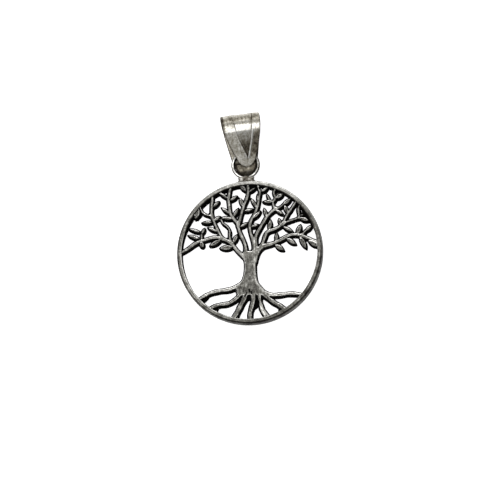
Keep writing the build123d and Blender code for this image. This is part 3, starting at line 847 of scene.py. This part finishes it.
# The bail
bail = {
    "width": 6.75, "thick": 0.60, "length": 10.43, "bend": 5.2,  # the strip, and the folded leaf
    "lean": 8.8, "foldSkew": 1.5, "foldTurn": 3.0, "foldOffset": 0.75, "tipShift": 0.06,
    "wireGap": 0.10, "curlGap": 0.05, "curlLap": 0.45, "tipSink": 0.20,
    "frontTip": 1.34, "frontTipRadius": 1.72, "frontShoulder": 5.8,
    "backWaist": 6.2, "backShoulder": 4.5,
    "tongueWidth": 4.2, "tongueLength": 2.1, "tongueShoulder": 0.9, "tongueTipRadius": 1.83,
    "tipTurn": 10,  # degrees short of a half round, where a tip runs into its sides
    "lapSlices": 14, "curlSlices": 24, "backSlices": 60, "bendSlices": 72, "frontSlices": 110,
    "sidePoints": 17, "vPoints": 37, "edgePoints": 9, "innerPoints": 29,  # round one slice
    "corner": 0.13, "cornerShare": 0.8,  # the edges' round, and the most of a narrow slice's half
    "crown": 0.22, "crownWidth": 3.0, "crownRise": (1.0, 4.0), "lip": 0.06,
    "frontRise": (0, 45), "overRise": (10, 60),  # slices past the start of the bend
    "turnRise": (2.0, 8.0), "shiftRise": (6, 2),
    # the V: its point above the front's tip, its shift to the right, its depth at the top and at
    # the point, and its half width at heights above the point
    "vTip": 1.2, "vOffset": 0.24, "vTop": 0.10, "vDeep": 0.36, "vTopAt": 7.6, "vSlope": 0.14,
    "vFromSlice": 30, "vClimb": (0, 1.2, 2.4, 3.6, 4.8, 6.2, 7.7),
    "vHalf": (0, 0.42, 0.84, 1.18, 1.42, 1.62, 1.8),
    "vShiftFrom": 1.2, "vLeast": 0.3, "vShare": 0.7,  # half widths that guide the slice's points
    "ridgeAt": (0.16, 0.13), "ridgeFade": (8.2, 6.6),
    "leftLipAt": (0.10, 0.09), "leftLipShare": 0.5,
    # tones by place: an amount, then the heights, turns or distances that it belongs to
    "face": 0.67, "low": 0.03, "lowFrom": (7.6, 6.0), "highFrom": (5.6, 8.6),
    "lampLine": 0.24, "lampLineAt": (1.0, 0.18),  # dulls the lamp's bright line on the bend
    # band, bandFade: a painted highlight over the bend; inV: painted shade in the V; ridge,
    # leftLip: painted highlights on its lips
    "band": 0.17, "bandUp": (1.42, 1.56), "bandDown": (1.96, 2.06),
    "bandFade": 0.09, "fadeHeight": (5.0, 6.8), "fadeTurn": (1.85, 2.0),
    "inV": 0.44, "inVFrom": (5.9, 4.6), "inVTop": 0.04, "inVEdge": (0.3, 0.9),
    "ridge": 0.40, "leftLip": 0.16,
    "rightLine": 0.40, "rightLineAt": (0.05, 0.07), "leftLine": 0.22, "leftLineAt": (0.02, 0.06),
    "right": 0.38, "rightFrom": (0.30, 0.48), "rightKept": 0.8, "rightKeptFrom": (3.6, 2.4),
    "tip": 0.05, "tipFrom": (4.2, 2.8),
    # edges: painted shade along the face's edges
    "leftSide": 0.40, "leftSideAt": (0.93, 0.05), "edges": 0.45, "edgesFrom": (0.93, 1.0),
    "curl": 0.39, "curlWaver": 0.05,
    # curlShine: a painted highlight; curlEdge, curlFoot: painted shade; side, inside: painted
    # shade; insideBack: the lit left of the back leaf
    "curlShine": 0.25, "shineAcross": (0.1, 0.22), "shineUp": (0.55, 0.22),
    "curlEdge": (0.02, 0.34), "curlFoot": (0.02, 0.22),
    "side": 0.16, "inside": 0.08,
    "insideBack": 0.50, "backFrom": (2.2, 3.0), "backLeft": (0.2, 1.2),
}
bailLook = {
    **silverLook, "cloudShare": 0.74, "grain": 3800, "grainShare": 0.66, "grainHeight": 0.000005,
    "streak": (520, 3400, 3400), "streakShare": 0.52, "roughBright": 0.30,
    "black": (0.010, 0.008, 0.006), "dim": (0.045, 0.036, 0.027), "grey": (0.171, 0.155, 0.121),
    "pale": (0.405, 0.385, 0.332), "bright": (0.84, 0.83, 0.79),
}
curlRadius = (ring["wire"] + bail["wireGap"]) / 2 + bail["thick"]
bendCentre = bail["length"] - bail["bend"] / 2


# Half width of an arc through three points (half, up), read at the height asked for.
def arcHalf(y, first, second, third):
    (x1, y1), (x2, y2), (x3, y3) = first, second, third
    twice = 2 * (x1 * (y2 - y3) + x2 * (y3 - y1) + x3 * (y1 - y2))
    q1, q2, q3 = x1 * x1 + y1 * y1, x2 * x2 + y2 * y2, x3 * x3 + y3 * y3
    cx = (q1 * (y2 - y3) + q2 * (y3 - y1) + q3 * (y1 - y2)) / twice
    cy = (q1 * (x3 - x2) + q2 * (x1 - x3) + q3 * (x2 - x1)) / twice
    radius = math.hypot(x1 - cx, y1 - cy)
    side = 1 if x2 > cx else -1
    return cx + side * np.sqrt(np.clip(radius**2 - (y - cy) ** 2, 0, None))


# Half width of a round tip of that radius whose end is at the height tipY.
def tipHalf(y, tipY, radius):
    return np.sqrt(np.clip(radius**2 - (radius - (y - tipY)) ** 2, 0, None))


# Where a round tip runs into its sides: half width and height.
def tipSide(tipY, radius):
    turn = math.radians(bail["tipTurn"])
    return radius * math.cos(turn), tipY + radius * (1 - math.sin(turn))


# Half width of the front leaf: a round tip, then one arc through its shoulder to the full width.
def frontHalf(y):
    tipY, radius = bail["frontTip"], bail["frontTipRadius"]
    side = tipSide(tipY, radius)
    shoulder = (bail["frontShoulder"] / 2, (bail["length"] + tipY) / 2)
    sides = arcHalf(y, side, shoulder, (bail["width"] / 2, bail["length"]))
    return np.where(y < side[1], tipHalf(y, tipY, radius), sides)


# Half width of the back leaf: the tongue's round tip, straight sides to its neck and its shoulder,
# then one arc through the waist to the full width.
def backHalf(y):
    side = tipSide(0, bail["tongueTipRadius"])
    neck = (bail["tongueWidth"] / 2, bail["tongueLength"])
    shoulder = (bail["backShoulder"] / 2, bail["tongueLength"] + bail["tongueShoulder"])
    straight = np.interp(y, [side[1], neck[1], shoulder[1]], [side[0], neck[0], shoulder[0]])
    waist, top = (bail["backWaist"] / 2, bendCentre), (bail["width"] / 2, bail["length"])
    sides = arcHalf(y, shoulder, waist, top)
    tip = tipHalf(y, 0, bail["tongueTipRadius"])
    return np.where(y < side[1], tip, np.where(y < shoulder[1], straight, sides))


# The bail's folded side line in slices: from its lap under the front's tip round the curl, up the
# back, round the bend and down the straight front. Returns each slice's place (along, up), the
# turn of its outward side, and the slices where the back and the bend start.
def bailLine():
    thick, bendRadius = bail["thick"], bail["bend"] / 2
    across, rise = bendCentre - bail["frontTip"], bendRadius - (2 * curlRadius - bail["tipSink"])
    slope = math.atan2(rise, across) + math.asin((bendRadius - thick) / math.hypot(across, rise))
    lapY = np.linspace(bail["frontTip"] + bail["curlLap"], curlRadius, bail["lapSlices"])[:-1]
    curl = np.linspace(quarter, 3 * quarter, bail["curlSlices"])
    backY = np.linspace(curlRadius, bendCentre, bail["backSlices"])[1:]
    bend = np.linspace(-quarter, quarter + slope, bail["bendSlices"])[1:]
    curlMid, bendMid = curlRadius - thick / 2, bendRadius - thick / 2
    bendLine = stacked(bendCentre + bendMid * np.cos(bend), bendRadius + bendMid * np.sin(bend))
    startY, startZ = bendLine[-1]
    closing = np.sin(np.linspace(0, quarter, bail["frontSlices"])[1:])  # closer near the tip
    frontY = startY + (bail["frontTip"] + 0.02 - startY) * closing
    line = np.vstack((
        stacked(lapY, 2 * curlRadius - thick / 2),
        stacked(curlRadius + curlMid * np.cos(curl), curlRadius + curlMid * np.sin(curl)),
        stacked(backY, thick / 2),
        bendLine,
        stacked(frontY, startZ + (frontY - startY) * math.tan(slope)),
    ))
    facing = np.concatenate((
        np.full(lapY.shape, quarter), curl, np.full(backY.shape, -quarter), bend,
        np.full(frontY.shape, quarter + slope),
    ))
    startBack = len(lapY) + len(curl)
    return line, facing, startBack, startBack + len(backY)


# The bail: a slice of flat strip with rounded edges carried along the folded side line. The slice's
# width follows the leaf's outline, and its outer face is crowned, and sunk inside the V ever deeper
# towards the V's point.
def makeBail():
    thick = bail["thick"]
    line, facing, startBack, startBend = bailLine()
    travel = np.concatenate(([0], np.cumsum(np.hypot(*np.diff(line, axis=0).T))))[:, None]
    order = np.arange(len(line))[:, None]
    y, z, facing = line[:, :1], line[:, 1:], facing[:, None]
    pastBack = order - startBend
    front = eased(pastBack, *bail["frontRise"])  # 0 on the back leaf, 1 once over the bend
    over = eased(pastBack, *bail["overRise"])
    half = np.where(order < startBack, tipHalf(y, 0, bail["tongueTipRadius"]), backHalf(y))
    half = np.maximum(half * (1 - front) + frontHalf(y) * front, 0.02)

    # the outer face from left to right, with points gathered at the V's edges
    tipOfV = bail["frontTip"] + bail["vTip"]
    halfV = np.interp(y, np.array(bail["vClimb"]) + tipOfV, bail["vHalf"])
    halfV = halfV * (pastBack > bail["vFromSlice"]) * (y > tipOfV)
    shift = bail["vOffset"] * (half > bail["vShiftFrom"])
    edgeV = np.minimum(np.maximum(halfV, bail["vLeast"]), half * bail["vShare"])
    corner = np.minimum(bail["corner"], half * bail["cornerShare"])
    ease = np.linspace(0, 1, bail["sidePoints"])
    leftPart = -half + corner + (half - corner - edgeV + shift) * ease
    middlePart = shift + edgeV * np.linspace(-1, 1, bail["vPoints"])
    rightPart = shift + edgeV + (half - corner - edgeV - shift) * ease
    faceX = np.hstack((leftPart[:, :-1], middlePart, rightPart[:, 1:]))
    fromV = faceX - shift
    pastRight, pastLeft = fromV - halfV, -fromV - halfV
    hasV = halfV > 0.01
    deep = bail["vTop"] + (bail["vDeep"] - bail["vTop"]) * eased(y, bail["vTopAt"], tipOfV)
    sunk = deep * eased(halfV - np.abs(fromV), 0.0, bail["vSlope"]) * hasV
    ridge = bump(pastRight, *bail["ridgeAt"]) * hasV * eased(y, *bail["ridgeFade"])
    leftLip = bump(pastLeft, *bail["leftLipAt"]) * hasV
    faceN = thick / 2 - sunk + bail["lip"] * (ridge + bail["leftLipShare"] * leftLip)

    # the whole slice: outer face, right edge, inner face and left edge
    turn = np.linspace(quarter, -quarter, bail["edgePoints"])[1:-1]
    rightX = half - corner + corner * np.cos(turn)
    rightN = np.broadcast_to(thick / 2 * np.sin(turn), rightX.shape)
    backX = np.linspace(1, -1, bail["innerPoints"]) * (half - corner)
    backN = np.full(backX.shape, -thick / 2)
    sectionX = np.hstack((faceX, rightX, backX, -rightX[:, ::-1]))
    sectionN = np.hstack((faceN, rightN, backN, rightN[:, ::-1]))
    crown = bail["crown"] * (sectionX / bail["crownWidth"]) ** 2
    sectionN = sectionN - crown * over * eased(y, *bail["crownRise"])

    # set on the line, skewed and turned as the fold is, then leaned and put through the ring
    skew = math.sin(math.radians(bail["foldSkew"]))
    pz = z + sectionN * np.sin(facing)
    py = y + sectionN * np.cos(facing)
    py = py - math.tan(math.radians(bail["foldTurn"])) * sectionX * eased(y, *bail["turnRise"])
    centreX = np.where(pastBack < 0, -(bendCentre - np.minimum(y, bendCentre)) * skew, 0)
    centreX = centreX + bail["tipShift"] * over * eased(y, *bail["shiftRise"])
    px = sectionX + centreX + bail["foldOffset"] * (pz / bail["bend"] - 1)
    curlX = bail["foldOffset"] * (curlRadius / bail["bend"] - 1) - bendCentre * skew
    points = stacked(px - curlX, py - bail["tongueTipRadius"], pz)
    points = turnedBy(points, bail["lean"] - ring["turned"])
    curlPlace = ringDistance - ringRadius + ring["wire"] / 2 + bail["curlGap"]
    points[..., 1] += curlPlace + bail["tongueTipRadius"]
    points = turnedBy(points, ring["turned"])

    # tones of the outer face: a painted highlight band over the bend, a V painted darker towards
    # its point as shade, lips painted light as highlights, a dark right, and edges painted dark as
    # shade
    low, high = eased(y, *bail["lowFrom"]) * front, eased(y, *bail["highFrom"]) * front
    inV = eased(sunk / deep, *bail["inVEdge"]) * low
    face = np.full(faceX.shape, bail["face"]) - bail["low"] * low
    face -= bail["lampLine"] * bump(facing, *bail["lampLineAt"]) * front
    # a painted highlight band over the bend, fading onto the front below
    face += bail["band"] * inBand(facing, bail["bandUp"], bail["bandDown"]) * front
    fade = bail["bandFade"] * eased(y, *bail["fadeHeight"])
    face += fade * eased(facing, *bail["fadeTurn"]) * front
    # painted shade in the V, darker towards its point, and painted highlights on its lips
    face -= inV * (bail["inV"] * eased(y, *bail["inVFrom"]) - bail["inVTop"])
    face += (bail["ridge"] * ridge + bail["leftLip"] * leftLip) * low
    face -= bail["rightLine"] * bump(pastRight, *bail["rightLineAt"]) * high
    face -= bail["leftLine"] * bump(pastLeft, *bail["leftLineAt"]) * high
    right = eased(pastRight, *bail["rightFrom"]) * low
    face -= bail["right"] * right * (1 - bail["rightKept"] * eased(y, *bail["rightKeptFrom"]))
    face += bail["tip"] * eased(y, *bail["tipFrom"]) * low
    face -= bail["leftSide"] * bump(-faceX / half, *bail["leftSideAt"]) * high
    # painted shade along the face's edges
    face -= bail["edges"] * eased(np.abs(faceX) / half, *bail["edgesFrom"]) * low

    # tones of the curl, with one painted highlight spot and its edges and foot painted dark as
    # shade, then of the side edges and the inside, painted dark as shade, the inside with tarnish
    # too and lighter on the back leaf's left where it is lit
    curl = bail["curl"] + bail["curlWaver"] * np.sin(3.0 * faceX + 1)
    # a painted highlight spot, and painted shade at the curl's edges and foot
    curl += bail["curlShine"] * bump(faceX, *bail["shineAcross"]) * bump(y, *bail["shineUp"])
    curl *= eased(half - np.abs(faceX), *bail["curlEdge"]) * eased(y, *bail["curlFoot"])
    face = np.where(order < startBack, curl, face)
    side = np.full(rightX.shape, bail["side"])
    # the inside painted dark as shade with tarnish, lighter on the back leaf's left where it is lit
    inside = bail["insideBack"] * eased(y, *bail["backFrom"]) * eased(-backX, *bail["backLeft"])
    inside = bail["inside"] + inside
    tones = np.clip(np.hstack((face, side, inside, side)), 0, 1)
    along = stacked(travel, sectionX, sectionN)
    return makePiece("bail_strip", points, tubeFaces(*sectionX.shape), tones, along, 45)


castMaterial = castSilver("oxidisedCastSilver", silverLook)
rimMaterial = castSilver("rubbedRimSilver", rimLook)
ringMaterial = castSilver("drawnWireSilver", ringLook)
bailMaterial = castSilver("wornStripSilver", bailLook)
print("silver finishes ready")

for maker, material, node, slotName in (
    (makeTree, castMaterial, "tree_disc", "oxidised_silver"),
    (makeRim, rimMaterial, "tree_disc", "oxidised_silver"),
    (makeRing, ringMaterial, "tree_disc", "oxidised_silver"),
    (makeSolder, ringMaterial, "tree_disc", "oxidised_silver"),
    (makeBail, bailMaterial, "bail", "bail_silver"),
):
    piece = maker()
    piece.data.materials.append(material)
    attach(piece, "root")
    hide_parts(node)
    print("made", piece.name, len(piece.data.polygons), "faces")

# Floor, lights and camera, in metres and watts
studio = {
    "floorSide": 4.0, "floorDrop": 0.00005, "floorColor": (0.93, 0.93, 0.93, 1), "floorRough": 0.9,
    "floorGlow": 0.75,
    "boxPlace": (-0.02, -0.005, 0.32), "boxSize": (0.36, 0.32), "boxPower": 0.75,
    "lampPlace": (-0.08, 0.36, 0.18), "lampSize": (0.46, 0.12), "lampPower": 0.60,
    "skyAxis": (-0.5, 0.8, 0.2), "skySpan": 0.9, "backLight": 0.34, "frontLight": 0.08,
    "white": (1, 1, 1, 1),
}
half, drop = studio["floorSide"] / 2, -studio["floorDrop"]
floorCorners = [(-half, -half, drop), (half, -half, drop), (half, half, drop), (-half, half, drop)]
floorMesh = bpy.data.meshes.new("floor")
floorMesh.from_pydata(floorCorners, [], [(0, 1, 2, 3)])
floor = bpy.data.objects.new("floor", floorMesh)
bpy.context.scene.collection.objects.link(floor)
floorBook = NodeBook("paleFloor")
floorBook.shader.inputs["Base Color"].default_value = studio["floorColor"]
floorBook.shader.inputs["Roughness"].default_value = studio["floorRough"]
floorBook.shader.inputs["Emission Color"].default_value = studio["white"]
floorBook.shader.inputs["Emission Strength"].default_value = studio["floorGlow"]
floorMesh.materials.append(floorBook.material)


# An oblong light at a place, facing straight down or, where turned, facing the pendant.
def addLight(name, place, size, power, turned):
    light = bpy.data.lights.new(name, "AREA")
    light.shape = "RECTANGLE"
    light.size, light.size_y = size
    light.energy = power
    holder = bpy.data.objects.new(name, light)
    holder.location = place
    if turned:
        holder.rotation_euler = Vector(place).to_track_quat("Z", "Y").to_euler()
    bpy.context.scene.collection.objects.link(holder)


addLight("overheadBox", studio["boxPlace"], studio["boxSize"], studio["boxPower"], False)
addLight("backStrip", studio["lampPlace"], studio["lampSize"], studio["lampPower"], True)

# The sky is brighter towards one side: its strength follows the direction's part along an axis.
world = bpy.data.worlds.new("studio")
bpy.context.scene.world = world
world.use_nodes = True
nodes, links = world.node_tree.nodes, world.node_tree.links
direction = nodes.new("ShaderNodeTexCoord")
towards = nodes.new("ShaderNodeVectorMath")
towards.operation = "DOT_PRODUCT"
towards.inputs[1].default_value = studio["skyAxis"]
links.new(direction.outputs["Generated"], towards.inputs[0])
spread = nodes.new("ShaderNodeMapRange")
spread.inputs["From Min"].default_value = -studio["skySpan"]
spread.inputs["From Max"].default_value = studio["skySpan"]
spread.inputs["To Min"].default_value = studio["frontLight"]
spread.inputs["To Max"].default_value = studio["backLight"]
links.new(towards.outputs["Value"], spread.inputs["Value"])
links.new(spread.outputs["Result"], nodes["Background"].inputs["Strength"])
nodes["Background"].inputs["Color"].default_value = studio["white"]

# The camera stands 13 degrees towards the foot and 8 degrees to the right of straight above.
view = {
    "towardsFoot": 13, "toRight": 8, "lens": 600, "sensor": 36,
    "imageSize": 500, "pixelSize": 0.1704,  # millimetres of the pendant in one pixel
    "aim": (0.0, 0.0, 0.9), "aimPixel": (250.0, 252.8),  # the place that shows at that pixel
}
foot, right = math.radians(view["towardsFoot"]), math.radians(view["toRight"])
level = math.cos(foot)
outward = Vector((math.sin(right) * level, -math.sin(foot), math.cos(right) * level))
rightward = Vector((math.cos(right), 0, -math.sin(right)))
upward = outward.cross(rightward)
pixel = view["pixelSize"] * mm
distance = view["imageSize"] * pixel * view["lens"] / view["sensor"]
middle = view["imageSize"] / 2
centre = Vector(view["aim"]) * mm
aimX, aimY = view["aimPixel"]
centre += rightward * (middle - aimX) * pixel - upward * (middle - aimY) * pixel
place = Matrix((rightward, upward, outward)).transposed().to_4x4()
place.translation = centre + outward * distance
camera = bpy.data.cameras.new("camera")
camera.lens = view["lens"]
camera.sensor_width = view["sensor"]
camera.clip_start, camera.clip_end = distance * 0.5, distance * 2
cameraObject = bpy.data.objects.new("camera", camera)
cameraObject.matrix_world = place
scene = bpy.context.scene
scene.collection.objects.link(cameraObject)
scene.camera = cameraObject
scene.view_settings.view_transform = "Standard"
print("studio and camera set, camera at", round(distance, 3), "m")

bpy.context.view_layer.update()
